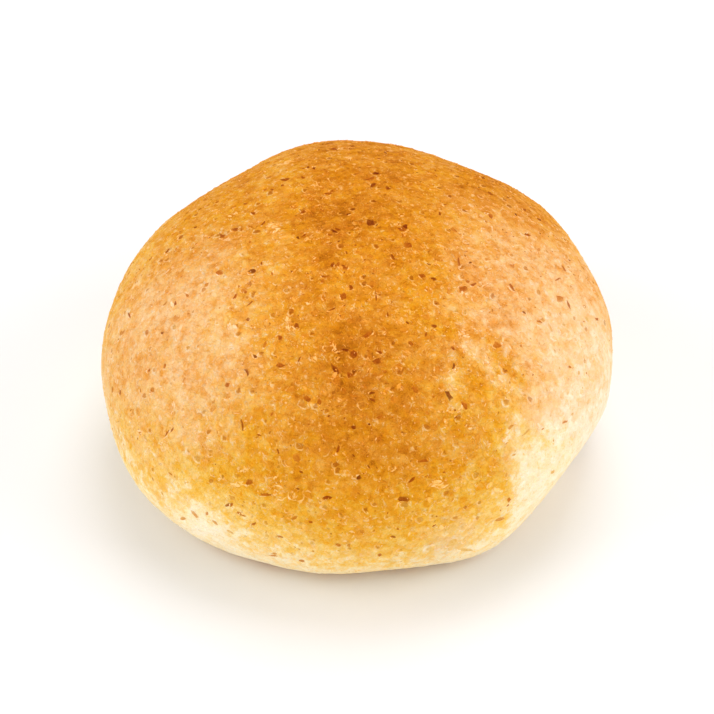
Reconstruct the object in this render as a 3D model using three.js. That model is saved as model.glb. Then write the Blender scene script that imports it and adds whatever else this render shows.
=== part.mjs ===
// A round wholemeal bread roll: a domed crust over a full belly that tucks in to a flat base.
// It was baked beside another roll, so one low side is pressed flat under a lip of the belly.
// Millimetres, +Z up. The base lies on z = 0 and the origin is the middle of the footprint.
// A turn of 0 degrees faces -Y, the front, and 90 degrees faces +X, the right.

import * as THREE from "three";
import { mergeVertices } from "three/addons/utils/BufferGeometryUtils.js";

// Driving dimensions, in millimetres
const WIDTH = 100;
const HEIGHT = 55;
const BELLY_HEIGHT = 21;

// The profile: how square the dome and the tuck are, and how far the tuck would reach below the
// belly if the base didn't cut it off
const DOME_SQUARENESS = 2.05;
const TUCK_SQUARENESS = 2.9;
const TUCK_DEPTH = 28;
const BASE_EDGE_ROUNDING = 3;

// Each swell stands out of the plain form and each hollow goes into it, by `rise` at the middle.
// `turn` and `tilt` give its direction from the belly's centre in degrees, and `reach` its size.
const SWELLS = {
  crown: { turn: 196, tilt: 42, reach: 17, rise: 1.6 },
  backFlat: { turn: 156, tilt: 28, reach: 10, rise: -0.8 },
  backLeftShoulder: { turn: 224, tilt: 25, reach: 14, rise: -1.7 },
  backRightShoulder: { turn: 130, tilt: 20, reach: 8, rise: 0.6 },
  rightHip: { turn: 112, tilt: 10, reach: 10, rise: -0.9 },
  leftHip: { turn: 254, tilt: 9, reach: 8, rise: -0.5 },
  leftSide: { turn: 270, tilt: -2, reach: 8, rise: 0.9 },
  leftBelly: { turn: 300, tilt: -13, reach: 12, rise: 0.8 },
  frontLeftFoot: { turn: 312, tilt: -21, reach: 14, rise: 1.1 },
  frontRightFoot: { turn: 32, tilt: -22, reach: 8, rise: 0.8 },
  frontFlat: { turn: 6, tilt: -24, reach: 10, rise: -1.4 },
  pressedSide: { turn: 56, tilt: -18, reach: 13, rise: -3.2 },
  lipFold: { turn: 68, tilt: -17, reach: 7, rise: -2.8 },
};

// Uneven rising of the dough: gentle waves from the longest to the shortest, each turned on from
// the one before it by the golden angle so that they never line up
const LUMPS = { waves: 9, longest: 36, shortest: 14, height: 0.16, turnOn: 137.5, steepest: 70 };

// Rows of an even triangle net on each side of the twenty-sided ball that is shaped into the roll
const NET_ROWS = 20;

const MATERIALS = {
  crust: new THREE.MeshStandardMaterial({ color: 0xe09a38, roughness: 0.62, metalness: 0 }),
};

const radians = THREE.MathUtils.degToRad;

/** Radius from the belly's centre, at a tilt above (+) or below (-) the widest line. */
function profileRadius(tilt) {
  const above = tilt >= 0;
  const n = above ? DOME_SQUARENESS : TUCK_SQUARENESS;
  const depth = above ? HEIGHT - BELLY_HEIGHT : TUCK_DEPTH;
  const outward = Math.cos(tilt) / (WIDTH / 2);
  const upward = Math.abs(Math.sin(tilt)) / depth;
  return (outward ** n + upward ** n) ** (-1 / n);
}

/** The point of the plain form in a direction, measured from the belly's centre. */
function plainPoint(direction) {
  const tilt = Math.asin(THREE.MathUtils.clamp(direction.z, -1, 1));
  return direction.clone().multiplyScalar(profileRadius(tilt));
}

/** Unit vector at a turn from the front and a tilt above the widest line, both in degrees. */
function directionAt(turn, tilt) {
  const flat = Math.cos(radians(tilt));
  const x = flat * Math.sin(radians(turn));
  const y = -flat * Math.cos(radians(turn));
  return new THREE.Vector3(x, y, Math.sin(radians(tilt)));
}

const swellSpots = Object.values(SWELLS).map(({ turn, tilt, reach, rise }) => ({
  centre: plainPoint(directionAt(turn, tilt)),
  reach,
  rise,
}));

/** How far the swells and hollows move the surface at a point of the plain form. */
function swellAt(point) {
  return swellSpots.reduce((sum, { centre, reach, rise }) => {
    const share = point.distanceTo(centre) / reach;
    return sum + rise * Math.exp(-share * share);
  }, 0);
}

/** Height that the gentle lumps add at a point of the plain form. */
function lumpAt(point) {
  let height = 0;
  for (let i = 0; i < LUMPS.waves; i += 1) {
    const share = i / (LUMPS.waves - 1);
    const length = THREE.MathUtils.lerp(LUMPS.longest, LUMPS.shortest, share);
    const tilt = THREE.MathUtils.lerp(LUMPS.steepest, -LUMPS.steepest, share);
    const along = directionAt(i * LUMPS.turnOn, tilt).dot(point);
    height += (LUMPS.height * length * Math.sin((2 * Math.PI * along) / length + i)) / LUMPS.longest;
  }
  return height;
}

/** Height above the table: the tuck is cut off flat, with a rounded edge. */
function settle(z) {
  const edge = BASE_EDGE_ROUNDING;
  if (z <= -edge) return 0;
  if (z >= edge) return z;
  return (z + edge) ** 2 / (4 * edge);
}

/** The roll's surface in a direction from the belly's centre. */
function rollPoint(direction) {
  const point = plainPoint(direction);
  const rise = swellAt(point) + lumpAt(point);
  point.addScaledVector(direction, rise);
  point.z = settle(point.z + BELLY_HEIGHT);
  return point;
}

/** An even net of triangles over a ball, moved out to the roll's surface. */
function rollGeometry() {
  const ball = new THREE.IcosahedronGeometry(1, NET_ROWS - 1);
  ball.deleteAttribute("normal");
  ball.deleteAttribute("uv");
  const geometry = mergeVertices(ball);
  const { position } = geometry.attributes;
  const direction = new THREE.Vector3();
  for (let i = 0; i < position.count; i += 1) {
    direction.fromBufferAttribute(position, i).normalize();
    position.setXYZ(i, ...rollPoint(direction));
  }
  geometry.computeBoundingBox();
  const middle = geometry.boundingBox.getCenter(new THREE.Vector3());
  geometry.translate(-middle.x, -middle.y, 0);
  geometry.computeVertexNormals();
  return geometry;
}

const roll = new THREE.Mesh(rollGeometry(), MATERIALS.crust);
roll.name = "roll";

const part = new THREE.Group();
part.add(roll);

export default part;
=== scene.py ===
"""A round wholemeal bread roll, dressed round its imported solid.

The crust is the solid's own form, rounded and given relief: slow waves, creases, a fine orange peel and a
shallow bed under each larger flake. Bran flakes, straw-coloured flakes and the pale skins that curl up
round them are small closed meshes set in the crust. Sizes are in millimetres until a mesh is made.
"""

import itertools
import math

import bmesh
import bpy
import numpy as np
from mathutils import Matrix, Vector
from mathutils.bvhtree import BVHTree
from mathutils.kdtree import KDTree


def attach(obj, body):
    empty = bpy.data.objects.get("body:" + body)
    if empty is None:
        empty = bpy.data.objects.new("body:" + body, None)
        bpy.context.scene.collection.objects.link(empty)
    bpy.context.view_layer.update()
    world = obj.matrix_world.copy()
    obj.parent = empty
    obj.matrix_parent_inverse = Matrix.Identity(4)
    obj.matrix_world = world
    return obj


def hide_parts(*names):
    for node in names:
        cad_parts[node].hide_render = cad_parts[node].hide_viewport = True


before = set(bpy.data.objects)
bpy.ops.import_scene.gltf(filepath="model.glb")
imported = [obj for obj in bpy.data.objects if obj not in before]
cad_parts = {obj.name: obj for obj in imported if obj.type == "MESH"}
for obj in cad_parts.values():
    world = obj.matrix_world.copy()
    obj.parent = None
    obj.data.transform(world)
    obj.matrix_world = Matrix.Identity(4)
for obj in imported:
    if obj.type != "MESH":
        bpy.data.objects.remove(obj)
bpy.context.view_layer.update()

MM = 0.001
SEED = 20
# The picture's width in pixels
PICTURE = 714

# The camera: above the front, as far off as makes the roll fill 513 of the picture's 714 pixels
CAMERA = {"elevation": 40, "lens": 120, "sensor": 36, "distance": 465.0, "target": (0.18, -2.25, 21.32)}

# Soft boxes: where they stand and their size, both in metres, and their watts
LIGHTS = {
    "left": {"place": (-0.75, -0.15, 0.45), "size": 0.6, "watts": 3.0},
    "right": {"place": (0.75, -0.15, 0.45), "size": 0.6, "watts": 3.0},
    "top": {"place": (0.10, 0.30, 0.85), "size": 0.5, "watts": 3.2},
    "front": {"place": (0, -0.9, 0.10), "size": 0.6, "watts": 2.4},
}
LIT_POINT = (0, 0, 0.025)
SKY = 0.52
FLOOR = {"reach": 3.0, "grey": 0.9, "roughness": 0.9, "gloss": 0.1}

# How often the solid's triangles are divided
DIVISIONS = 2

# Relief, as the width of its waves and their height, from the slowest to the finest
RELIEF = {
    "dough": (7.0, 0.10),
    "skin": (2.6, 0.08),
    "peel": (1.2, 0.06),
}
# Creases run this way down the front of the right shoulder, and are paler by this much less bake, partly a
# painted highlight on their raised bands. They show where all these ramps, in millimetres, have risen.
CREASES = {"along": (0.53, -0.32, -0.79), "width": 1.7, "length": 8.0, "depth": 0.16, "paler": 0.10}
CREASED = (("x", 10, 18), ("x", 44, 34), ("y", -6, -16), ("z", 22, 30))
# The relief fades out between these heights, where the roll stands on the table
RESTS = (2.0, 0.3)
# The crust stays this far inside the plain form, which leaves room for what stands out of it
SETBACK = 0.16

# A flake's bed, in shares of half the flake's length, and the most in millimetres that beds and their rims
# move the crust
BED = {"reach": 2.4, "rim": 1.6, "rim_width": 0.4, "rim_share": 0.5, "deepest": 0.30, "highest": 0.12}

# Flakes: how many, half their length, how narrow and wide they are, how thick, and how deep their bed is
BRAN = {"count": 1900, "small": 0.24, "large": 0.95, "shape": (0.28, 0.80), "thick": 0.08, "bed": 0.14}
STRAW = {"count": 1300, "small": 0.25, "large": 0.80, "shape": (0.25, 0.60), "thick": 0.09, "bed": 0.02}
# Curls of skin that stand alone
CURLS = {"count": 1500, "small": 0.25, "large": 0.75, "shape": (0.35, 0.85), "thick": 0, "bed": 0}
# Blisters are round skins that have broken open
BLISTERS = {"count": 60, "small": 0.5, "large": 0.85, "shape": (0.6, 0.85), "thick": 0, "bed": 0.05}
# Small flakes outnumber large ones: the higher this power, the more
SMALLNESS = 3
# The crust's mesh is fine enough for the beds of flakes of at least this half length
RESOLVED = 0.4
# A random flake's brown is the crust's bake, less this much and more by up to this much
BROWN = {"less": 0.15, "more": 0.45}
# Half of a seen flake's size, with a little more for the edge that is sunk in
HALF_SEEN = 0.6
# A flake near the outline isn't stretched more than if it faced the camera by this share
LEAST_FACING = 0.35
# A pale crumb is a heap of shreds: three, and one more for each of these sizes, shifted and turned at
# random, and with these shares of the heap's length and of their own length as their width
HEAP = {"least": 3, "size": 0.25, "shift": 0.85, "turn": 0.8, "long": (0.25, 0.5), "wide": (0.35, 0.7)}
# All flakes show above the second height, and this share of them below the first. There are fewer on the
# left shoulder and the pressed side, by these shares.
SHOWN = {"heights": (3, 24), "low": 0.3, "left": 0.45, "pressed": 0.9}
LEFT_SHOULDER = (("x", -14, -28), ("y", 8, -10))
# A flake's outline has this many sides, each turned and reaching at random. It rises from the outermost
# of its rings to the innermost.
FLAKE = {"sides": 8, "turned": 0.25, "reach": (0.55, 1.25), "rings": (1.1, 0.85, 0.45)}
# Pale skins curl up beside flakes: the share of flakes that have one, its width, how high it stands, and
# how unevenly it tapers
SKIN = {"share": 0.6, "width": 0.46, "height": 0.14, "taper": (0.45, 1.25)}
# A skin's path: its gap from the flake, the turn in radians that it spans, how far it may stray from the
# rim side, and its number of points
PATHS = {
    "beside": {"gap": 0.12, "span": (0.8, 2.4), "stray": 0.8, "points": 7},
    "curl": {"gap": 0, "span": (0.6, 1.7), "stray": 2.0, "points": 6},
    "blister": {"gap": 0, "span": (0.8, 2.2), "stray": 1.6, "points": 8},
}

# The side that lay against another roll: each edge runs from untouched crust to pressed, in millimetres.
# The top edge falls by this slope outward from the corner.
PRESSED = {"front": (26.5, 30.5), "top": (45, 23), "back": (10, -10), "slope": 0.45, "corner": 28}

# The bake, from 0 for raw dough to about 1 for the brownest. Each part of the crust differs from the
# crown by its first number. It reaches where its ramps, along x or y in millimetres, all rise.
CROWN_BAKE = 0.91
PRESSED_BAKE = 0.11
TRAY_BAKE = 0.72
BAKE_PARTS = {
    # Shoulders and right edge: paler partly from less bake, partly as painted sheen of the side lights
    "left shoulder": (-0.36, ("x", -3, -27)),
    "right shoulder": (-0.31, ("x", 6, 33)),
    "right edge": (-0.23, ("x", 28, 46), ("y", 0, -14)),
    "back left": (0.20, ("y", -16, -2), ("x", -14, -22), ("x", -44, -30)),
    "back right": (0.22, ("y", -4, 18), ("x", 14, 26), ("x", 46, 36)),
}
# Unevenness of the bake, as the size of its patches and how far they differ
BAKE_NOISE = ((16, 0.04), (7, 0.05), (3, 0.05))
# The bake fades from the first height to the second, down the foot: partly a less baked foot, partly painted
# light over the shade on the low foot
FOOT = (38, -4)

# How peach the parts of the crust are, from 0 for golden to 1. The peach of the left and right shoulders is
# partly painted sheen of the side lights.
PEACH_PARTS = {"left": 0.62, "right": 0.74, "crown": 0.2, "pressed": 0.35}
# How far y and z go up in the picture
PICTURE_UP = (0.64, 0.77)

# Places where the crust is paler, browner, more peach or higher than round them, with their reach in
# millimetres. A long one runs from its place to its end. Their shade darkens the crust evenly: painted shade
# in the brown middle and right middle, and a greyer tone on the foot bran.
TINTS = {
    "brown middle": {"place": (0, -36, 45), "reach": 11, "peach": 0.08, "shade": 0.05},
    "right middle": {"place": (14, -39, 38), "reach": 14, "shade": 0.04},
    "cream foot": {"place": (-29, -41, 15), "reach": 6, "bake": -0.17, "peach": 0.10},
    "left corner": {"place": (-44, -19, 20), "reach": 7, "bake": 0.10},
    "low left": {"place": (-22, -43, 28), "reach": 6, "bake": 0.06, "peach": -0.10},
    "left yellow": {"place": (-17, -29, 46), "reach": 2.2, "bake": 0.02, "peach": -0.25},
    "low yellow": {"place": (-19, -40.5, 36.5), "reach": 2.8, "bake": 0.06, "peach": -0.3},
    "left pale": {"place": (-24, -26.5, 45), "reach": 2.4, "bake": -0.08, "peach": 0.1},
    "left fold": {"place": (-32, -36, 31), "reach": 5, "bake": -0.05, "peach": 0.15},
    "lower left": {"place": (-37, -33, 18), "reach": 9, "bake": 0.10, "peach": 0.10},
    "foot middle": {"place": (1, -46, 17), "reach": 7, "bake": 0.07},
    "foot right": {"place": (22.6, -44, 14), "end": (11, -48.5, 13), "reach": 3.5, "bake": 0.08},
    "foot bran": {"place": (17, -47, 14), "reach": 4.5, "bake": -0.08, "peach": 0.5, "shade": 0.09},
    "back pale": {"place": (-30, -3, 48), "reach": 6, "bake": -0.04},
    "crown left": {"place": (-11, 4, 54), "reach": 6, "bake": 0.10},
    "back right": {"place": (24, 17, 50), "reach": 7, "bake": 0.03, "peach": -0.15},
    "left middle": {"place": (-10, -26, 49), "reach": 8, "bake": -0.03},
    "low middle": {"place": (-10, -43.5, 36), "reach": 7, "bake": -0.04},
    "low right": {"place": (17, -46, 28), "reach": 6, "bake": -0.03},
    "front right": {"place": (22, -37, 39.5), "reach": 4, "bake": -0.03},
    # Ridges of the creases are paler and their valleys browner: partly bake, partly painted highlight and
    # shade
    "top crease": {"place": (22.5, -21, 48), "end": (23.5, -22.5, 47), "reach": 1.8, "bake": -0.10,
                   "peach": 0.2},
    "crease": {"place": (19, -27, 47), "end": (26, -32.5, 41), "reach": 2.0, "bake": -0.15, "peach": 0.15,
               "rise": 0.18},
    "low crease": {"place": (17.7, -33.5, 43.5), "end": (17.5, -37, 41.5), "reach": 1.6, "bake": -0.20,
                   "rise": 0.12},
    "side crease": {"place": (26.8, -39.5, 31.5), "end": (29, -36, 35.5), "reach": 1.3, "bake": -0.16,
                    "peach": 0.2, "rise": 0.12},
    "upper valley": {"place": (17.5, -26.5, 47.5), "reach": 1.6, "bake": 0.11, "peach": -0.4, "rise": -0.10},
    "valley": {"place": (24, -25.5, 45.5), "end": (26, -28.5, 43.3), "reach": 2.0, "bake": 0.15,
               "peach": -0.5, "rise": -0.14},
    "middle valley": {"place": (19.5, -32, 44), "end": (22, -34.5, 41.5), "reach": 1.7, "bake": 0.12,
                      "peach": -0.3, "rise": -0.12},
    "low valley": {"place": (28, -29, 41.5), "end": (30.5, -30.5, 39), "reach": 1.8, "bake": 0.12,
                   "peach": -0.4, "rise": -0.10},
    "right shoulder": {"place": (33, -27, 39), "reach": 7, "bake": 0.03, "peach": -0.18},
    "right edge": {"place": (45, -19, 30), "reach": 6, "bake": 0.05},
    "pressed yellow": {"place": (32, -34.5, 31.5), "reach": 2.2, "bake": 0.06},
    "pressed lip": {"place": (27.7, -40.6, 28.5), "reach": 2.2, "bake": -0.12, "peach": 0.2},
    "pressed corner": {"place": (35, -34.5, 28), "reach": 4.5, "bake": -0.04},
}

# The flakes that catch the eye: the photograph's pixel, the length and width in millimetres, the lean
# in the picture in degrees, and how brown it is
SEEN_BRAN = (
    (252, 271, 1.4, 1.0, 0, 1.20),
    (263, 223, 1.2, 0.35, 50, 1.05),
    (253, 213, 0.9, 0.6, -20, 1.00),
    (285, 179, 1.8, 0.6, 10, 1.00),
    (303, 177, 1.1, 0.4, -20, 1.00),
    (303, 212, 1.1, 0.5, 25, 1.00),
    (298, 238, 0.6, 0.5, 0, 1.20),
    (304, 235, 1.2, 0.3, 35, 1.00),
    (337, 229, 1.1, 0.35, -20, 1.00),
    (344, 267, 1.5, 0.9, -30, 0.95),
    (372, 222, 1.6, 1.4, -30, 1.20),
    (373, 185, 1.3, 0.6, 30, 1.15),
    (388, 188, 1.0, 0.6, -20, 1.10),
    (370, 178, 1.9, 0.5, 10, 0.95),
    (334, 149, 1.8, 0.5, -10, 1.00),
    (235, 229, 1.3, 0.8, 0, 1.00),
    (222, 236, 1.1, 0.8, 0, 1.00),
    (167, 251, 1.0, 0.4, 45, 1.10),
    (175, 303, 1.0, 0.35, 90, 1.00),
    (129, 315, 1.3, 0.4, -60, 0.95),
    (109, 326, 1.0, 0.4, 70, 0.90),
    (162, 333, 0.6, 0.5, 0, 1.10),
    (206, 285, 1.1, 0.8, 40, 0.60),
    (120, 393, 1.0, 0.4, -80, 0.95),
    (149, 370, 0.9, 0.6, 60, 0.85),
    (227, 385, 1.3, 0.7, 30, 0.85),
    (167, 433, 1.7, 0.28, 55, 0.90),
    (172, 430, 1.2, 0.35, 60, 1.00),
    (248, 319, 0.8, 0.5, 40, 1.05),
    (296, 325, 1.3, 1.0, -10, 1.05),
    (281, 365, 1.4, 1.0, 0, 0.95),
    (255, 356, 1.0, 0.6, -40, 1.20),
    (247, 372, 1.9, 0.5, -65, 1.10),
    (250, 303, 1.5, 0.25, 42, 0.95),
    (299, 360, 1.1, 0.35, 60, 1.05),
    (332, 309, 1.7, 0.25, 20, 1.05),
    (343, 296, 1.5, 1.0, -70, 0.95),
    (335, 369, 2.0, 0.9, -55, 1.15),
    (353, 354, 1.8, 1.2, -60, 1.05),
    (350, 375, 1.2, 0.9, -20, 0.95),
    (368, 334, 1.5, 0.8, 25, 0.90),
    (376, 297, 2.0, 0.28, -85, 1.00),
    (380, 352, 1.2, 0.6, -10, 1.00),
    (372, 393, 1.0, 0.4, 15, 1.20),
    (242, 424, 2.1, 0.35, -78, 1.05),
    (354, 427, 0.8, 0.7, 0, 1.10),
    (402, 229, 1.6, 1.0, -10, 0.98),
    (408, 245, 1.3, 0.9, -20, 0.92),
    (393, 257, 1.1, 0.5, -60, 1.10),
    (434, 279, 0.9, 0.6, -30, 1.15),
    (422, 276, 1.0, 0.8, 0, 0.95),
    (459, 262, 1.7, 0.45, -80, 0.95),
    (470, 263, 0.6, 0.5, 0, 1.25),
    (463, 289, 1.4, 0.9, 10, 0.90),
    (474, 284, 1.4, 0.5, 20, 1.00),
    (491, 216, 1.1, 0.7, -40, 0.88),
    (490, 193, 1.1, 0.4, -30, 1.00),
    (483, 178, 1.0, 0.5, -20, 1.05),
    (512, 287, 1.6, 0.5, -55, 0.95),
    (524, 312, 0.8, 0.5, -15, 1.10),
    (559, 298, 1.3, 1.2, 0, 0.68),
    (564, 268, 1.8, 0.4, -60, 0.80),
    (558, 279, 1.2, 0.4, 25, 0.85),
    (569, 305, 1.6, 0.4, -68, 0.85),
    (597, 319, 0.7, 0.6, 0, 0.85),
    (434, 326, 0.9, 0.5, 0, 1.05),
    (426, 334, 1.0, 0.35, 70, 1.05),
    (454, 366, 1.1, 0.5, 85, 1.20),
    (449, 396, 2.0, 0.9, -55, 1.20),
    (465, 405, 1.4, 1.0, -60, 0.85),
    (498, 345, 1.7, 1.0, -20, 0.80),
    (565, 422, 1.1, 0.5, 25, 0.60),
    (553, 472, 0.8, 0.7, 0, 0.25),
    (514, 455, 0.7, 0.5, 20, 0.35),
    (249, 482, 1.7, 1.0, 20, 0.88),
    (229, 505, 1.2, 0.5, 15, 1.00),
    (240, 514, 1.8, 0.5, -25, 0.78),
    (266, 495, 1.8, 0.45, 0, 0.85),
    (298, 489, 0.8, 0.4, 0, 1.05),
    (301, 472, 0.8, 0.5, -20, 1.05),
    (280, 537, 1.2, 0.45, 0, 0.88),
    (338, 449, 1.5, 0.4, 75, 1.00),
    (278, 452, 1.3, 0.3, -75, 1.00),
    (359, 478, 0.9, 0.7, 30, 1.25),
    (403, 499, 2.0, 1.1, 0, 1.05),
    (411, 481, 1.6, 0.5, 45, 1.00),
    (423, 461, 1.9, 0.7, 10, 0.90),
    (393, 537, 0.9, 0.45, -15, 1.00),
    (380, 555, 0.8, 0.6, 0, 0.85),
    (453, 543, 2.3, 1.2, 15, 0.20),
    (452, 527, 2.7, 0.9, 22, 0.20),
    (466, 550, 2.8, 0.6, -5, 0.20),
    (182, 519, 1.6, 0.6, 10, 0.42),
    (195, 515, 1.7, 0.7, -50, 0.42),
    (215, 523, 1.5, 0.5, -40, 0.42),
    (207, 514, 0.7, 0.5, 60, 0.60),
    (254, 524, 0.9, 0.5, 30, 0.80),
    (273, 556, 1.4, 0.4, 0, 0.60),
    (302, 561, 1.2, 0.5, 0, 0.60),
    (338, 545, 1.4, 0.5, -20, 0.70),
    (510, 428, 1.8, 0.4, 50, 0.50),
    (527, 432, 2.0, 0.5, 40, 0.35),
    (500, 519, 1.6, 0.7, 10, 0.50),
)
# The pale crumbs that catch the eye, without the last of those values
SEEN_STRAW = (
    (232, 327, 2.1, 0.8, -50),
    (165, 445, 1.6, 1.3, 90),
    (149, 449, 1.2, 1.0, 0),
    (238, 484, 2.1, 0.8, 5),
    (246, 469, 1.8, 0.6, 35),
    (451, 375, 2.2, 1.4, 70),
    (452, 387, 1.7, 0.7, -20),
    (438, 484, 2.5, 1.2, -5),
    (458, 485, 1.7, 1.2, 60),
    (402, 388, 1.0, 0.7, 90),
    (285, 265, 1.1, 0.9, 45),
    (275, 226, 2.3, 0.9, -10),
    (357, 229, 1.5, 0.8, -20),
    (308, 238, 1.6, 0.9, 20),
    (406, 232, 1.0, 0.5, 50),
    (463, 295, 1.4, 0.6, 10),
    (497, 490, 2.1, 0.25, -25),
    (508, 437, 2.3, 0.7, 75),
    (289, 322, 2.6, 0.9, 85),
    (297, 330, 1.3, 0.4, 5),
    (285, 163, 3.0, 0.7, 10),
    (466, 348, 1.6, 0.9, -50),
    (472, 355, 1.5, 0.8, -40),
    (488, 365, 2.0, 1.1, -40),
    (500, 377, 1.6, 0.7, -30),
    (464, 333, 1.8, 1.1, -20),
    (507, 390, 1.2, 0.8, -20),
    (278, 493, 1.5, 1.2, 0),
    (296, 494, 1.4, 1.1, 0),
)
# The broken blisters that catch the eye: the photograph's pixel and the width in millimetres
SEEN_BLISTERS = (
    (330, 346, 1.9),
    (339, 346, 1.9),
    (278, 493, 2.3),
    (296, 494, 2.2),
    (310, 297, 2.0),
    (490, 290, 2.6),
    (177, 303, 1.9),
    (323, 182, 1.9),
    (487, 229, 1.6),
    (557, 336, 1.8),
)

# The side of a flake or pit that its pale rim is on: to the left and downward, away from the stronger
# light. On pits that pale rim is a painted highlight.
RIM_SIDE = (-0.70, -0.45, -0.55)

# Crust colours from raw dough to the darkest bake, as sRGB, each with the bake that it stands for:
# golden on the foot, and peach on the shoulders
GOLDEN = (
    (0.00, (255, 242, 214)),
    (0.15, (252, 228, 176)),
    (0.35, (249, 203, 106)),
    (0.55, (244, 181, 61)),
    (0.70, (239, 162, 34)),
    (0.85, (228, 144, 22)),
    (1.00, (206, 120, 13)),
    (1.30, (140, 70, 8)),
)
PEACH = (
    (0.00, (255, 241, 218)),
    (0.15, (253, 231, 198)),
    (0.35, (251, 210, 161)),
    (0.55, (249, 193, 130)),
    (0.70, (242, 170, 95)),
    (0.85, (229, 146, 62)),
    (1.00, (207, 118, 39)),
    (1.30, (140, 70, 20)),
)
# How much more peach the palest marks are
PALE_PEACH = 0.5
# The size of the crust's marks in millimetres, and how much of the bake some of them move
MARK_SIZES = {"fine": 0.32, "grain": 0.6, "patch": 1.6, "mottle": 1.9, "blotch": 5.0, "wrinkle": 0.8,
              "peel": 1.5, "scratch": 1.0, "loose": 1.1, "tinge": 1.7, "wash": 4.0, "bits": 0.35}
MARK_BAKES = {"fine": 0.06, "grain": 0.09, "patch": 0.13, "mottle": 0.16, "blotch": 0.20}
# Broken blisters that are too small to build: their spacing and radius, and the share of places with one
PITS = {"spacing": 2.3, "small": 0.10, "large": 0.62, "share": 0.6}
SPECKS = {"spacing": 1.15, "small": 0.05, "large": 0.30, "share": 0.5}
# How deep the bump of fine marks is
BUMP = {"crust": 0.15, "bits": 0.06}
# How much less baked straw and skins are in their middle
PALER = {"straw": 0.16, "skins": 0.18}
# Bran colours, from bran in pale crust to bran in the brownest
BRAN_COLOURS = (
    (0.00, (234, 200, 120)),
    (0.30, (218, 160, 70)),
    (0.55, (202, 122, 36)),
    (0.80, (182, 92, 16)),
    (1.00, (150, 62, 8)),
    (1.30, (100, 30, 5)),
)


def linear(colour):
    """An sRGB colour of 0 to 255 as the linear colour that nodes take."""
    shares = [c / 255 for c in colour]
    return [s / 12.92 if s <= 0.04045 else ((s + 0.055) / 1.055) ** 2.4 for s in shares] + [1]


def smoothstep(low, high, value):
    """0 below low, 1 above high, and an even S between them. It falls where low is above high."""
    share = np.clip((value - low) / (high - low), 0, 1)
    return share * share * (3 - 2 * share)


def hashed(cells, seed):
    """A random number from 0 to 1 for each cell of a grid, always the same for that cell."""
    mixed = cells.astype(np.int64) @ np.array([73856093, 19349663, 83492791]) + seed * 7919
    mixed = (mixed ^ (mixed >> 13)) * 1274126177
    return ((mixed ^ (mixed >> 16)) & 0xFFFFFF) / 0xFFFFFF


def noise(points, size, seed):
    """Smooth noise from -1 to 1 whose lumps are about this size."""
    scaled = points / size
    cell = np.floor(scaled)
    share = scaled - cell
    share = share * share * (3 - 2 * share)
    total = np.zeros(len(points))
    for corner in itertools.product((0, 1), repeat=3):
        weight = np.prod(np.where(corner, share, 1 - share), axis=1)
        total += weight * hashed(cell + corner, seed)
    return 2 * total - 1


def ramped(points, ramps):
    """1 where all these ramps, each along x, y or z, have risen, and 0 where one hasn't begun."""
    axes = dict(zip("xyz", points.T))
    return np.prod([smoothstep(low, high, axes[axis]) for axis, low, high in ramps], axis=0)


def pressed_share(points):
    """1 on the low right side that lay against another roll in the oven, and 0 away from it."""
    x, y, z = points.T
    ragged = noise(points, 3.0, SEED) + 0.5 * noise(points, 1.1, SEED + 1)
    height = z + PRESSED["slope"] * (x - PRESSED["corner"])
    front_edge = smoothstep(*PRESSED["front"], x + ragged)
    top_edge = smoothstep(*PRESSED["top"], height + 2 * ragged)
    back_edge = smoothstep(*PRESSED["back"], y + 3 * ragged)
    return front_edge * top_edge * back_edge


def tinted(points, key):
    """How much the tints change one of their values, with ragged edges."""
    total = np.zeros(len(points))
    ragged = 1 + 0.35 * noise(points, 1.6, SEED + 9) + 0.4 * noise(points, 0.8, SEED + 23)
    for tint in TINTS.values():
        start = np.array(tint["place"])
        run = np.array(tint.get("end", tint["place"])) - start
        along = np.clip((points - start) @ run / max(run @ run, 1), 0, 1)
        away = np.linalg.norm(points - start - np.outer(along, run), axis=1) * ragged
        total += tint.get(key, 0) * np.exp(-((away / tint["reach"]) ** 2))
    return total


def bake(points, normals):
    """How far the crust is baked, from 0 for raw dough to about 1 for its brownest."""
    z = points[:, 2]
    level = np.full(len(points), CROWN_BAKE)
    # Shoulders and right edge come out paler partly as painted sheen of the side lights
    for change, *ramps in BAKE_PARTS.values():
        level += change * ramped(points, ramps)
    for i, (size, most) in enumerate(BAKE_NOISE):
        level += most * noise(points, size, SEED + 2 + i)
    level -= CREASES["paler"] * creases(points)
    # Paler down the foot: partly less bake, partly painted light over the foot's shade
    level *= 1 - smoothstep(*FOOT, z + 1.5 * noise(points, 9, SEED + 5))
    level = level + (PRESSED_BAKE - level) * pressed_share(points) + tinted(points, "bake")
    under = smoothstep(2.5, 0.4, z) * smoothstep(-0.5, -0.95, normals[:, 2])
    tray = TRAY_BAKE + 0.08 * noise(points, 8, SEED + 6)
    return level + (tray - level) * under


def peach(points):
    """1 where the crust is peach, on the shoulders, and 0 where it is golden, at the foot."""
    x, y, z = points.T
    x = x + 3 * noise(points, 5, SEED + 8) + 4 * noise(points, 11, SEED + 24)
    rise = PICTURE_UP[0] * y + PICTURE_UP[1] * z
    low = smoothstep(-8, 12, rise + 3 * noise(points, 4, SEED + 22))
    left = smoothstep(-10, -30, x) * smoothstep(8, -10, y) * low
    right = smoothstep(12, 30, x) * smoothstep(24, -6, y) * smoothstep(8, 18, rise + np.maximum(x - 26, 0))
    amount = PEACH_PARTS["left"] * left + PEACH_PARTS["right"] * right
    amount += PEACH_PARTS["crown"] * smoothstep(24, 40, z) + PEACH_PARTS["pressed"] * pressed_share(points)
    return amount + tinted(points, "peach")


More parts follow.
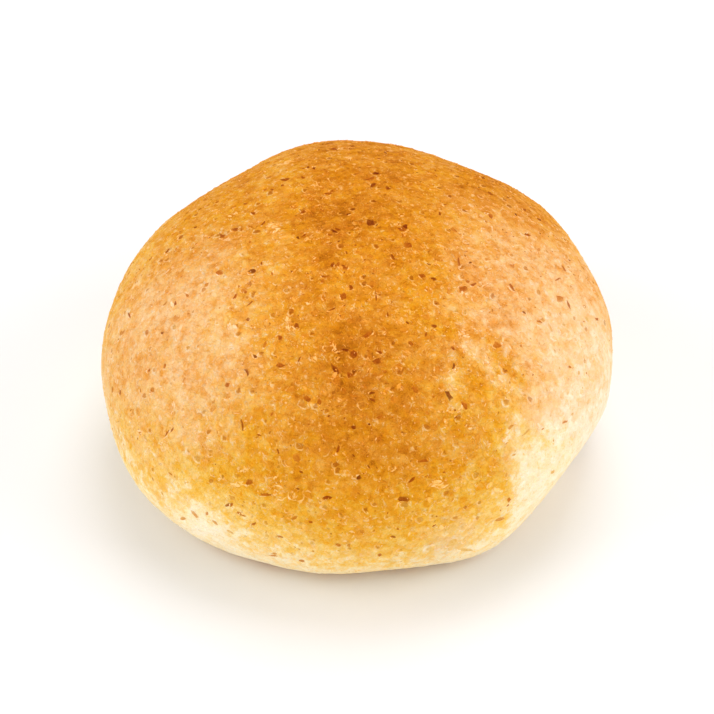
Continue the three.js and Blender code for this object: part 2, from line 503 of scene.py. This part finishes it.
def vertex_arrays(mesh):
    """A mesh's points, in millimetres, and its normals."""
    points = np.zeros(len(mesh.vertices) * 3)
    mesh.vertices.foreach_get("co", points)
    normals = np.zeros(len(mesh.vertices) * 3)
    mesh.vertex_normals.foreach_get("vector", normals)
    return points.reshape(-1, 3) / MM, normals.reshape(-1, 3)


def move_points(mesh, points):
    """Moves a mesh's points to these, in millimetres, and none of them below the table."""
    points[:, 2] = np.maximum(points[:, 2], 0)
    mesh.vertices.foreach_set("co", (points * MM).ravel())
    mesh.update()


def new_object(name, data):
    """A new object in the scene."""
    made = bpy.data.objects.new(name, data)
    bpy.context.scene.collection.objects.link(made)
    return made


def rounded_copy(node, divisions):
    """The CAD node's surface as a new mesh, welded, divided and rounded."""
    mesh = node.data.copy()
    work = bmesh.new()
    work.from_mesh(mesh)
    bmesh.ops.remove_doubles(work, verts=work.verts, dist=0.01 * MM)
    work.to_mesh(mesh)
    work.free()
    piece = new_object("crust", mesh)
    modifier = piece.modifiers.new("divide", "SUBSURF")
    modifier.levels = modifier.render_levels = divisions
    shaped = piece.evaluated_get(bpy.context.evaluated_depsgraph_get())
    piece.data = bpy.data.meshes.new_from_object(shaped)
    piece.modifiers.clear()
    return piece


def creases(points):
    """Pale creases, from 0 to 1: narrow bands that run down and outward over the right shoulder."""
    along = np.array(CREASES["along"])
    down = np.outer(points @ along, along)
    stretched = (points - down) / CREASES["width"] + down / CREASES["length"]
    band = 1 - np.abs(noise(stretched, 1, SEED + 7)) * 2.2
    return np.clip(band, 0, 1) ** 1.5 * ramped(points, CREASED)


def relief(points):
    """Height of the crust's relief over the plain form, in millimetres."""
    height = np.zeros(len(points))
    for i, (size, rise) in enumerate(RELIEF.values()):
        height += rise * noise(points, size, SEED + 10 + i)
    height += CREASES["depth"] * (creases(points) - 0.4) + tinted(points, "rise")
    calm = 1 - 0.6 * pressed_share(points)
    base = smoothstep(*RESTS, points[:, 2])
    return height * calm * (1 - base) - SETBACK


def bedded(points, flakes):
    """Depth of the beds that flakes lie in, with a low rim round each, and how near each point is to one."""
    tree = KDTree(len(points))
    for i, point in enumerate(points):
        tree.insert(point, i)
    tree.balance()
    drop = np.zeros(len(points))
    near = np.zeros(len(points))
    for one in flakes:
        found = tree.find_range(one["spot"], one["size"] * BED["reach"])
        if not found:
            continue
        index = [i for _, i, _ in found]
        share = np.array([distance for _, _, distance in found]) / one["size"]
        rim = BED["rim_share"] * np.exp(-((share - BED["rim"]) / BED["rim_width"]) ** 2)
        drop[index] += one["bed"] * (np.exp(-1.1 * share ** 2) - rim)
        near[index] = np.maximum(near[index], np.exp(-0.8 * share ** 2))
    return np.clip(drop, -BED["highest"], BED["deepest"]), near


def float_attribute(mesh, name, values):
    """A value for each point of a mesh, which materials read by name."""
    attribute = mesh.attributes.new(name, "FLOAT", "POINT")
    attribute.data.foreach_set("value", np.asarray(values, np.float32))


def make_crust():
    """The crust: the roll's form with its relief."""
    piece = rounded_copy(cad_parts["roll"], DIVISIONS)
    points, normals = vertex_arrays(piece.data)
    move_points(piece.data, points + normals * relief(points)[:, None])
    piece.data.shade_smooth()
    return piece


def finish_crust(piece, flakes):
    """Presses the flakes' beds into the crust, and gives each point its bake and its peach."""
    points, normals = vertex_arrays(piece.data)
    drop, near = bedded(points, flakes)
    move_points(piece.data, points - normals * drop[:, None])
    level = bake(points, normals)
    float_attribute(piece.data, "bake", level + 0.05 * near * smoothstep(0.2, 0.7, level))
    float_attribute(piece.data, "peach", peach(points))
    # Painted shade, and the foot bran's greyer tone: how much darker the crust is made
    float_attribute(piece.data, "shade", tinted(points, "shade"))
    piece.data.update()


class Nodes:
    """A short way to write a material's nodes."""

    def __init__(self, name):
        self.material = bpy.data.materials.new(name)
        self.material.use_nodes = True
        self.tree = self.material.node_tree
        self.shader = self.tree.nodes["Principled BSDF"]

    def add(self, kind, inputs=(), **settings):
        """A node with these settings, and with values or other nodes' outputs on its inputs."""
        made = self.tree.nodes.new(kind)
        for key, value in settings.items():
            setattr(made, key, value)
        for key, value in dict(inputs).items():
            self.set(made.inputs[key], value)
        return made

    def set(self, socket, value):
        """Links an output to a socket, or sets its value."""
        if isinstance(value, bpy.types.NodeSocket):
            self.tree.links.new(value, socket)
        else:
            socket.default_value = value

    def math(self, operation, *values, clamp=False):
        """The output of a Math node."""
        made = self.add("ShaderNodeMath", enumerate(values), operation=operation, use_clamp=clamp)
        return made.outputs[0]

    def place(self):
        """The point being shaded, in metres."""
        return self.add("ShaderNodeTexCoord").outputs["Object"]

    def vector(self, operation, *values, output=0):
        """An output of a Vector Math node."""
        return self.add("ShaderNodeVectorMath", enumerate(values), operation=operation).outputs[output]

    def noise(self, where, size, detail=2, rough=0.5, distortion=0, output="Fac"):
        """Noise from 0 to 1 whose lumps are about this many millimetres across."""
        inputs = {"Vector": where, "Scale": 1 / (size * MM), "Detail": detail}
        inputs |= {"Roughness": rough, "Distortion": distortion}
        return self.add("ShaderNodeTexNoise", inputs).outputs[output]

    def bent(self, where, size, push):
        """A place pushed about at random, by up to this many millimetres."""
        centred = self.vector("SUBTRACT", self.noise(where, size, 1, output="Color"), (0.5, 0.5, 0.5))
        pushed = self.add("ShaderNodeVectorMath", {0: centred, "Scale": 2 * push * MM}, operation="SCALE")
        return self.vector("ADD", where, pushed.outputs[0])

    def cells(self, where, size):
        """A random value from 0 to 1 for each cell of about this many millimetres."""
        made = self.add("ShaderNodeTexVoronoi", {"Vector": where, "Scale": 1 / (size * MM)})
        return self.add("ShaderNodeSeparateColor", {0: made.outputs["Color"]}).outputs[0]

    def nudge(self, value, by, amount):
        """A value moved up or down by noise that runs from 0 to 1."""
        return self.math("MULTIPLY_ADD", self.math("SUBTRACT", by, 0.5), amount, value)

    def steps(self, value, low, high, to_low=0.0, to_high=1.0):
        """A smooth step from one value to another."""
        inputs = {"Value": value, "From Min": low, "From Max": high, "To Min": to_low, "To Max": to_high}
        made = self.add("ShaderNodeMapRange", inputs, interpolation_type="SMOOTHSTEP")
        return made.outputs[0]

    def ramp(self, value, stops):
        """A colour from stops of (value, sRGB colour)."""
        most = stops[-1][0]
        made = self.add("ShaderNodeValToRGB", {"Fac": self.math("DIVIDE", value, most)})
        elements = made.color_ramp.elements
        while len(elements) < len(stops):
            elements.new(0.5)
        for element, (place, colour) in zip(elements, stops):
            element.position = place / most
            element.color = linear(colour)
        return made.outputs["Color"]

    def mix(self, share, first, second):
        """Two colours mixed."""
        made = self.add("ShaderNodeMix", data_type="RGBA")
        self.set(made.inputs[0], share)
        self.set(made.inputs[6], first)
        self.set(made.inputs[7], second)
        return made.outputs[2]

    def crust_colour(self, level, peach):
        """The crust's colour at a bake, golden or peach."""
        return self.mix(peach, self.ramp(level, GOLDEN), self.ramp(level, PEACH))

    def attribute(self, name):
        """A value that the mesh holds for each point."""
        return self.add("ShaderNodeAttribute", attribute_name=name).outputs["Fac"]

    def finish(self, colour, rough, height, depth, gloss=0.02):
        """Sets the shader's colour, roughness and bump of this depth in millimetres."""
        self.set(self.shader.inputs["Base Color"], colour)
        self.set(self.shader.inputs["Roughness"], rough)
        self.shader.inputs["Specular IOR Level"].default_value = gloss
        bump = self.add("ShaderNodeBump", {"Height": height, "Distance": depth * MM, "Strength": 0.8})
        self.set(self.shader.inputs["Normal"], bump.outputs[0])
        return self.material


def lines(n, where, size, width):
    """Thin winding lines, 1 on a line and 0 away from it."""
    waves = n.noise(where, size, detail=1, distortion=1.4)
    return n.steps(n.math("ABSOLUTE", n.math("SUBTRACT", waves, 0.5)), width, 0.0)


def pits(n, where, spacing, small, large, share):
    """Broken blisters no bigger than a flake: (how far inside one, how far on its curled rim, its chance)."""
    cells = n.add("ShaderNodeTexVoronoi", {"Vector": where, "Scale": 1 / (spacing * MM)})
    chance = n.add("ShaderNodeSeparateColor", {0: cells.outputs["Color"]}).outputs
    chosen = n.steps(chance[0], 1 - share, 1 - share + 0.02)
    radius = n.math("MULTIPLY_ADD", chance[1], (large - small) / spacing, small / spacing)
    inside = n.math("SUBTRACT", radius, cells.outputs["Distance"])
    core = n.math("MULTIPLY", n.steps(inside, -0.03, 0.07), chosen)
    away = n.math("ABSOLUTE", n.math("ADD", inside, 0.09))
    offset = n.vector("NORMALIZE", n.vector("SUBTRACT", where, cells.outputs["Position"]))
    side = n.vector("DOT_PRODUCT", offset, RIM_SIDE, output=1)
    # The rim is a painted highlight, only on the pit's side toward RIM_SIDE
    rim = n.math("MULTIPLY", n.steps(away, 0.09, 0.02), n.steps(side, -0.2, 0.6))
    return core, n.math("MULTIPLY", rim, chosen), chance[2]


def crust_material():
    """Baked crust: mottled from dough to brown, with peeling skin, pits with pale rims, and specks."""
    n = Nodes("crust")
    place = n.place()
    bent = n.bent(place, 1.3, 0.45)
    ragged = n.bent(bent, 0.42, 0.20)
    bake_here = n.attribute("bake")

    # Mottling, from the finest to the broadest, which is weaker on raw dough
    fine = n.steps(n.noise(ragged, MARK_SIZES["fine"], detail=1), 0.3, 0.7)
    grain = n.cells(ragged, MARK_SIZES["grain"])
    patch = n.cells(ragged, MARK_SIZES["patch"])
    mottle = n.steps(n.noise(bent, MARK_SIZES["mottle"], detail=3, rough=0.6), 0.34, 0.66)
    blotch = n.noise(place, MARK_SIZES["blotch"], detail=2)
    small = n.nudge(n.nudge(0.0, fine, MARK_BAKES["fine"]), grain, MARK_BAKES["grain"])
    broad = n.nudge(n.nudge(0.0, patch, MARK_BAKES["patch"]), mottle, MARK_BAKES["mottle"])
    broad = n.nudge(broad, blotch, MARK_BAKES["blotch"])
    calm = n.steps(bake_here, 0.0, 0.8, 0.4, 1.0)
    level = n.math("MULTIPLY_ADD", small, calm, bake_here)
    lively = n.steps(bake_here, 0.6, 0.9, 1.15, 0.85)
    lively = n.math("MULTIPLY", n.steps(bake_here, 0.0, 0.3, 0.4, 1.0), lively)
    level = n.math("MULTIPLY_ADD", broad, lively, level)

    # Wrinkles, peeling skin, scratches, and pits whose rims carry a painted highlight on one side
    wrinkle = lines(n, ragged, MARK_SIZES["wrinkle"], 0.07)
    level = n.math("MULTIPLY_ADD", wrinkle, n.steps(bake_here, 0.5, 0.85, 0.07, -0.10), level)
    loose = n.noise(bent, MARK_SIZES["loose"])
    peel = n.math("MULTIPLY", lines(n, ragged, MARK_SIZES["peel"], 0.06), n.steps(loose, 0.50, 0.60))
    scratch = n.math("MULTIPLY", lines(n, bent, MARK_SIZES["scratch"], 0.06), n.steps(loose, 0.48, 0.40))
    level = n.math("MULTIPLY_ADD", scratch, 0.15, level)
    core, rim, chance = pits(n, ragged, **PITS)
    speck, speck_rim, tint = pits(n, ragged, **SPECKS)
    # Pale marks: peeling skin, and the painted highlights on the rims of pits and specks
    pale = n.math("MAXIMUM", n.math("MAXIMUM", rim, peel), n.math("MULTIPLY", speck_rim, 0.4))
    level = n.math("MULTIPLY_ADD", pale, n.steps(bake_here, 0.25, 0.85, -0.05, -0.26), level)
    tinge = n.steps(n.noise(bent, MARK_SIZES["tinge"]), 0.35, 0.65)
    wash = n.steps(n.noise(bent, MARK_SIZES["wash"], detail=3), 0.35, 0.65)
    peach = n.nudge(n.nudge(n.attribute("peach"), tinge, 0.22), wash, 0.20)
    colour = n.crust_colour(level, n.math("MULTIPLY_ADD", pale, PALE_PEACH, peach))

    # Bran brown in the middle of pits
    baked = n.steps(bake_here, 0.05, 0.5, 0.10, 0.65)
    tone = n.ramp(n.nudge(level, chance, 0.4), BRAN_COLOURS)
    colour = n.mix(n.math("MULTIPLY", core, baked), colour, tone)
    baked = n.math("MULTIPLY", baked, n.math("MULTIPLY_ADD", tint, 0.7, 0.1))
    tone = n.ramp(n.nudge(level, tint, 0.4), BRAN_COLOURS)
    colour = n.mix(n.math("MULTIPLY", speck, baked), colour, tone)
    # Painted shade: the tints' shade, and a little darkening in the low parts of the fine and grain relief
    light = n.nudge(n.math("SUBTRACT", 1.0, n.attribute("shade")), fine, 0.08)
    colour = n.vector("MULTIPLY", colour, n.nudge(light, grain, 0.05))

    # Their bump
    rough = n.math("MULTIPLY_ADD", grain, 0.15, 0.6)
    height = n.math("MULTIPLY_ADD", mottle, 0.8, n.math("MULTIPLY_ADD", patch, 0.5, grain))
    height = n.math("MULTIPLY_ADD", fine, 0.3, height)
    height = n.math("MULTIPLY_ADD", n.math("MAXIMUM", wrinkle, scratch), -0.5, height)
    height = n.math("MULTIPLY_ADD", pale, 0.5, height)
    height = n.math("MULTIPLY_ADD", n.math("MAXIMUM", core, speck), -0.4, height)
    return n.finish(colour, rough, n.math("MULTIPLY", height, calm), BUMP["crust"])


def bran_material():
    """Bran: the crust's colour at a flake's edge, and brown in its middle."""
    n = Nodes("bran")
    fine = n.noise(n.place(), MARK_SIZES["bits"], detail=2)
    level = n.nudge(n.attribute("bake"), fine, 0.4)
    brown = n.ramp(n.nudge(n.attribute("brown"), fine, 0.6), BRAN_COLOURS)
    colour = n.mix(n.attribute("tone"), n.crust_colour(level, n.attribute("peach")), brown)
    rough = n.math("MULTIPLY_ADD", fine, 0.2, 0.5)
    return n.finish(colour, rough, fine, BUMP["bits"])


def pale_material(name):
    """Crust that is paler in the middle of a piece than at its edges."""
    n = Nodes(name)
    fine = n.noise(n.place(), MARK_SIZES["bits"], detail=2)
    level = n.nudge(n.attribute("bake"), fine, 0.35)
    most = n.steps(n.attribute("bake"), 0.2, 0.8, PALER[name] * 0.1, PALER[name])
    tone = n.attribute("tone")
    # A negative tone darkens a skin's edge: painted shadow beside the curl
    less = n.math("MULTIPLY", tone, n.math("MULTIPLY_ADD", n.attribute("chance"), most, most))
    peach = n.math("MULTIPLY_ADD", n.math("MAXIMUM", tone, 0), PALE_PEACH, n.attribute("peach"))
    colour = n.crust_colour(n.math("SUBTRACT", level, less), peach)
    rough = n.math("MULTIPLY_ADD", fine, 0.2, 0.5)
    return n.finish(colour, rough, fine, BUMP["bits"])


class Bits:
    """Small closed meshes gathered into one piece, with values that their materials read."""

    def __init__(self):
        self.points, self.faces = [], []
        self.values = {"tone": [], "chance": [], "bake": [], "peach": [], "brown": []}
        self.count = 0

    def add(self, points, faces, tone, one):
        """One closed mesh, with the tone of each point and what the crust is like where it lies."""
        self.points.append(points)
        self.faces += [tuple(self.count + i for i in face) for face in faces]
        self.count += len(points)
        self.values["tone"] += list(tone)
        for name in ("chance", "bake", "peach", "brown"):
            self.values[name] += [one[name]] * len(points)

    def piece(self, name, material):
        """All of them as one object."""
        mesh = bpy.data.meshes.new(name)
        points = np.concatenate(self.points)
        points[:, 2] = np.maximum(points[:, 2], 0)
        mesh.from_pydata((points * MM).tolist(), [], self.faces)
        for key, values in self.values.items():
            float_attribute(mesh, key, values)
        mesh.shade_smooth()
        mesh.materials.append(material)
        made = new_object(name, mesh)
        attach(made, "root")
        return made


def scattered(crust, kind, rng):
    """Random flakes of one kind on the crust."""
    count = kind["count"]
    crust.data.calc_loop_triangles()
    corners = np.zeros(len(crust.data.loop_triangles) * 3, int)
    crust.data.loop_triangles.foreach_get("vertices", corners)
    points, _ = vertex_arrays(crust.data)
    a, b, c = (points[corners.reshape(-1, 3)[:, k]] for k in range(3))
    facing = np.cross(b - a, c - a)
    area = np.linalg.norm(facing, axis=1)
    weight = area * flake_chance((a + b + c) / 3)
    picked = rng.choice(len(area), count, p=weight / weight.sum())
    u, v = rng.random(count), rng.random(count)
    over = u + v > 1
    u[over], v[over] = 1 - u[over], 1 - v[over]
    spots = a[picked] + (b - a)[picked] * u[:, None] + (c - a)[picked] * v[:, None]
    normals = facing[picked] / area[picked][:, None]
    axes = []
    for normal in normals:
        half = kind["small"] + (kind["large"] - kind["small"]) * rng.random() ** SMALLNESS
        along, across = axes_on(normal, rng.uniform(0, 2 * math.pi))
        axes.append((along * half, across * half * rng.uniform(*kind["shape"])))
    return new_flakes(spots, normals, axes, kind, rng.random(count))


def new_flakes(spots, normals, axes, kind, chances, browns=None):
    """Flakes, each with its place, its two half axes, its bed, and what the crust is like there."""
    spots, normals = np.array(spots), np.array(normals)
    levels, peaches = bake(spots, normals), peach(spots)
    if browns is None:
        browns = levels - BROWN["less"] + BROWN["more"] * chances ** 3
    flakes = []
    for i, (along, across) in enumerate(axes):
        size = np.linalg.norm(along)
        flakes.append({
            "spot": spots[i],
            "normal": normals[i],
            "axes": (along, across),
            "size": size,
            "bed": kind["bed"] * min(1, size / 0.5),
            "chance": chances[i],
            "bake": levels[i],
            "peach": peaches[i],
            "brown": browns[i],
        })
    return flakes


def surface(piece):
    """A piece's surface, for finding points on it."""
    bpy.context.view_layer.update()
    return BVHTree.FromObject(piece, bpy.context.evaluated_depsgraph_get())


def seen(crust, rows, kind):
    """Flakes where the photograph shows them, on the crust under their pixels."""
    tree = surface(crust)
    camera = bpy.context.scene.camera
    right, up, back = (np.array(axis) for axis in camera.matrix_world.to_3x3().transposed())
    eye = np.array(camera.matrix_world.translation)
    spread = CAMERA["sensor"] / CAMERA["lens"] / PICTURE
    spots, normals, axes = [], [], []
    for x, y, long, wide, lean, _ in rows:
        ray = right * (x - PICTURE / 2) * spread - up * (y - PICTURE / 2) * spread - back
        place, normal, _, _ = tree.ray_cast(Vector(eye), Vector(ray))
        normal = np.array(normal)
        turn = math.radians(lean)
        pair = []
        for size, way in ((long, turn), (wide, turn + math.pi / 2)):
            flat = right * math.cos(way) + up * math.sin(way)
            on_crust = flat - back * np.dot(flat, normal) / max(np.dot(back, normal), LEAST_FACING)
            pair.append(on_crust * HALF_SEEN * size)
        spots.append(np.array(place) / MM)
        normals.append(normal)
        axes.append(pair)
    return new_flakes(spots, normals, axes, kind, [0.9] * len(rows), [row[-1] for row in rows])


def crumbled(heaps, kind, rng):
    """Each pale crumb as a heap of a few shreds that lie over one another."""
    spots, normals, axes = [], [], []
    for heap in heaps:
        along, across = heap["axes"]
        for _ in range(HEAP["least"] + round(heap["size"] / HEAP["size"])):
            shift = rng.uniform(-HEAP["shift"], HEAP["shift"], 2)
            turn = rng.normal(0, HEAP["turn"])
            long = (along * math.cos(turn) + across * math.sin(turn)) * rng.uniform(*HEAP["long"])
            wide = np.cross(heap["normal"], long)
            spots.append(heap["spot"] + along * shift[0] + across * shift[1])
            normals.append(heap["normal"])
            axes.append((long, wide * rng.uniform(*HEAP["wide"])))
    return new_flakes(spots, normals, axes, kind, rng.uniform(0.5, 1, len(axes)))


def flake_chance(points):
    """Where flakes show: in clusters all over the dome, and fewer on its pale parts."""
    show = smoothstep(*SHOWN["heights"], points[:, 2]) * (1 - SHOWN["low"]) + SHOWN["low"]
    show = show * (1 - SHOWN["left"] * ramped(points, LEFT_SHOULDER))
    clusters = (1 + 0.6 * noise(points, 9, SEED + 20)) * (1 + 0.8 * noise(points, 3.5, SEED + 21))
    return show * (1 - SHOWN["pressed"] * pressed_share(points)) * clusters


def axes_on(normal, turn):
    """Two directions along the surface, at a turn."""
    along = np.cross(normal, (0.3, 0.5, 0.81))
    along /= np.linalg.norm(along)
    across = np.cross(normal, along)
    return along * math.cos(turn) + across * math.sin(turn), across * math.cos(turn) - along * math.sin(turn)


def laid(tree, points):
    """The points of the crust that are nearest to these."""
    return np.array([tree.find_nearest(Vector(point * MM))[0] for point in points]) / MM


def flake(one, thick, tree, rng):
    """A thin uneven flake that lies along the crust with its edge sunk in: (points, faces, tones)."""
    sides = FLAKE["sides"]
    normal = one["normal"]
    turned = rng.uniform(-FLAKE["turned"], FLAKE["turned"], sides)
    turns = np.arange(sides) * 2 * math.pi / sides + turned
    reach = rng.uniform(*FLAKE["reach"], sides)
    edge = np.outer(reach * np.cos(turns), one["axes"][0]) + np.outer(reach * np.sin(turns), one["axes"][1])
    rings = [laid(tree, one["spot"] + edge * share) for share in FLAKE["rings"]]
    rings[0] -= normal * thick * 0.5
    rings[1] += normal * thick * 0.5
    rings[2] += np.outer(rng.uniform(0.6, 1.0, sides) * thick, normal)
    middle = laid(tree, [one["spot"]])
    points = np.vstack(rings + [middle + normal * thick * 0.8, middle - normal * thick])
    top, bottom = 3 * sides, 3 * sides + 1
    faces = []
    for k in range(sides):
        after = (k + 1) % sides
        for ring in (0, sides):
            faces.append((ring + k, ring + after, ring + sides + after, ring + sides + k))
        faces.append((2 * sides + k, 2 * sides + after, top))
        faces.append((after, k, bottom))
    strength = 0.35 + 0.65 * one["chance"] ** 2
    uneven = 0.85 + 0.25 * np.cos(turns + rng.uniform(0, 2 * math.pi))
    tones = [0.05] * sides + list(strength * uneven) + [strength] * (sides + 2)
    return points, faces, tones


def skin(path, normal, width, height, rng):
    """A curl of skin along a path: a low ragged ridge, pale on its crest: (points, faces, tones)."""
    count = len(path)
    ahead = np.gradient(path, axis=0)
    side = np.cross(ahead, normal)
    side /= np.linalg.norm(side, axis=1)[:, None]
    taper = np.sin(np.linspace(0.15, math.pi - 0.15, count))[:, None]
    taper = taper * rng.uniform(*SKIN["taper"], (count, 1))
    rows = [path + side * width / 2 * taper - normal * height * 0.4]
    rows.append(path + side * width / 4 * taper + normal * height * 0.7 * taper)
    rows.append(path - side * width / 5 * taper + normal * height * taper)
    rows.append(path - side * width / 2 * taper - normal * height * 0.4)
    points = np.vstack(rows)
    corners = [count * row for row in range(4)]
    faces = [tuple(corners), tuple(corner + count - 1 for corner in reversed(corners))]
    for k in range(count - 1):
        for row in range(4):
            a, b = corners[row] + k, corners[(row + 1) % 4] + k
            faces.append((a, a + 1, b + 1, b))
    crest = list(taper[:, 0])
    # One edge gets a low tone, which darkens it: painted shadow beside the curl
    return points, faces, [0.2] * count + crest + crest + [-0.6] * count


def arc(one, kind, span, rng):
    """A skin's path: part of the way round a flake, near its rim side."""
    along, across = one["axes"]
    long, wide = np.linalg.norm(along), np.linalg.norm(across)
    middle = math.atan2(np.dot(across / wide, RIM_SIDE), np.dot(along / long, RIM_SIDE))
    turns = middle + rng.normal(0, kind["stray"]) + np.linspace(-span / 2, span / 2, kind["points"])
    reach = 1 + 0.15 * np.sin(2 * turns + rng.uniform(0, 6)) + rng.uniform(-0.13, 0.13, kind["points"])
    around = np.outer(reach * np.cos(turns) * (1 + kind["gap"] / long), along)
    return one["spot"] + around + np.outer(reach * np.sin(turns) * (1 + kind["gap"] / wide), across)


def add_flakes(flakes, kind, skins, tree, rng):
    """The meshes of all flakes of one kind, and the pale skins beside some of them."""
    bits = Bits()
    for one in flakes:
        bits.add(*flake(one, kind["thick"], tree, rng), one)
        if rng.random() < SKIN["share"] * min(1, one["size"] / 0.5):
            path = laid(tree, arc(one, PATHS["beside"], rng.uniform(*PATHS["beside"]["span"]), rng))
            width = min(SKIN["width"], one["size"] * 0.8) * rng.uniform(0.6, 1.2)
            skins.add(*skin(path, one["normal"], width, SKIN["height"], rng), one)
    return bits


def add_curls(curls, skins, tree, rng):
    """Short curls of skin that stand alone."""
    for one in curls:
        path = laid(tree, arc(one, PATHS["curl"], rng.uniform(*PATHS["curl"]["span"]), rng))
        width = min(SKIN["width"], one["size"] * 0.8) * rng.uniform(0.5, 1.1)
        skins.add(*skin(path, one["normal"], width, SKIN["height"] * 0.8, rng), one)


def add_blisters(blisters, skins, tree, rng):
    """Round skins that stand open like rings, in two to four pieces."""
    for one in blisters:
        for span in rng.uniform(*PATHS["blister"]["span"], rng.integers(2, 5)):
            path = laid(tree, arc(one, PATHS["blister"], span, rng))
            skins.add(*skin(path, one["normal"], SKIN["width"] * 1.2, SKIN["height"], rng), one)


def make_camera():
    """The camera, at the photograph's viewing angle."""
    data = bpy.data.cameras.new("camera")
    data.lens = CAMERA["lens"]
    data.sensor_width = CAMERA["sensor"]
    camera = new_object("camera", data)
    rise = math.radians(CAMERA["elevation"])
    back = Vector((0, -math.cos(rise), math.sin(rise)))
    camera.location = (Vector(CAMERA["target"]) + back * CAMERA["distance"]) * MM
    camera.rotation_euler = back.to_track_quat("Z", "Y").to_euler()
    data.clip_start = 0.01
    bpy.context.scene.camera = camera


def make_light(name, place, size, watts):
    """A square soft box that faces the roll."""
    data = bpy.data.lights.new(name, "AREA")
    data.size = size
    data.energy = watts
    light = new_object(name, data)
    light.location = place
    light.rotation_euler = (Vector(place) - Vector(LIT_POINT)).to_track_quat("Z", "Y").to_euler()


def make_studio():
    """A pale floor, soft boxes, and even light from all round."""
    mesh = bpy.data.meshes.new("floor")
    reach = FLOOR["reach"]
    corners = [(-reach, -reach, 0), (reach, -reach, 0), (reach, reach, 0), (-reach, reach, 0)]
    mesh.from_pydata(corners, [], [(0, 1, 2, 3)])
    floor = new_object("floor", mesh)
    n = Nodes("floor")
    n.shader.inputs["Base Color"].default_value = (*[FLOOR["grey"]] * 3, 1)
    n.shader.inputs["Roughness"].default_value = FLOOR["roughness"]
    n.shader.inputs["Specular IOR Level"].default_value = FLOOR["gloss"]
    mesh.materials.append(n.material)
    for name, light in LIGHTS.items():
        make_light(name, **light)
    world = bpy.data.worlds.new("studio")
    world.use_nodes = True
    world.node_tree.nodes["Background"].inputs["Color"].default_value = (1, 1, 1, 1)
    world.node_tree.nodes["Background"].inputs["Strength"].default_value = SKY
    bpy.context.scene.world = world
    bpy.context.scene.view_settings.view_transform = "Standard"


make_camera()
make_studio()

rng = np.random.default_rng(SEED)
crust = make_crust()
bran = seen(crust, SEEN_BRAN, BRAN) + scattered(crust, BRAN, rng)
heaps = seen(crust, [row + (0,) for row in SEEN_STRAW], STRAW)
blisters = seen(crust, [(x, y, wide, wide, 0, 0) for x, y, wide in SEEN_BLISTERS], BLISTERS)
straw = crumbled(heaps, STRAW, rng) + scattered(crust, STRAW, rng)
blisters += scattered(crust, BLISTERS, rng)
curls = scattered(crust, CURLS, rng)
finish_crust(crust, [one for one in bran + blisters if one["size"] > RESOLVED])
crust.data.materials.clear()
crust.data.materials.append(crust_material())
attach(crust, "root")
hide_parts("roll")

tree = surface(crust)
skins = Bits()
bran_bits = add_flakes(bran, BRAN, skins, tree, rng)
straw_bits = add_flakes(straw, STRAW, skins, tree, rng)
add_blisters(blisters, skins, tree, rng)
add_curls(curls, skins, tree, rng)
bran_bits.piece("bran", bran_material())
straw_bits.piece("straw", pale_material("straw"))
skins.piece("skins", pale_material("skins"))

bpy.context.view_layer.update()
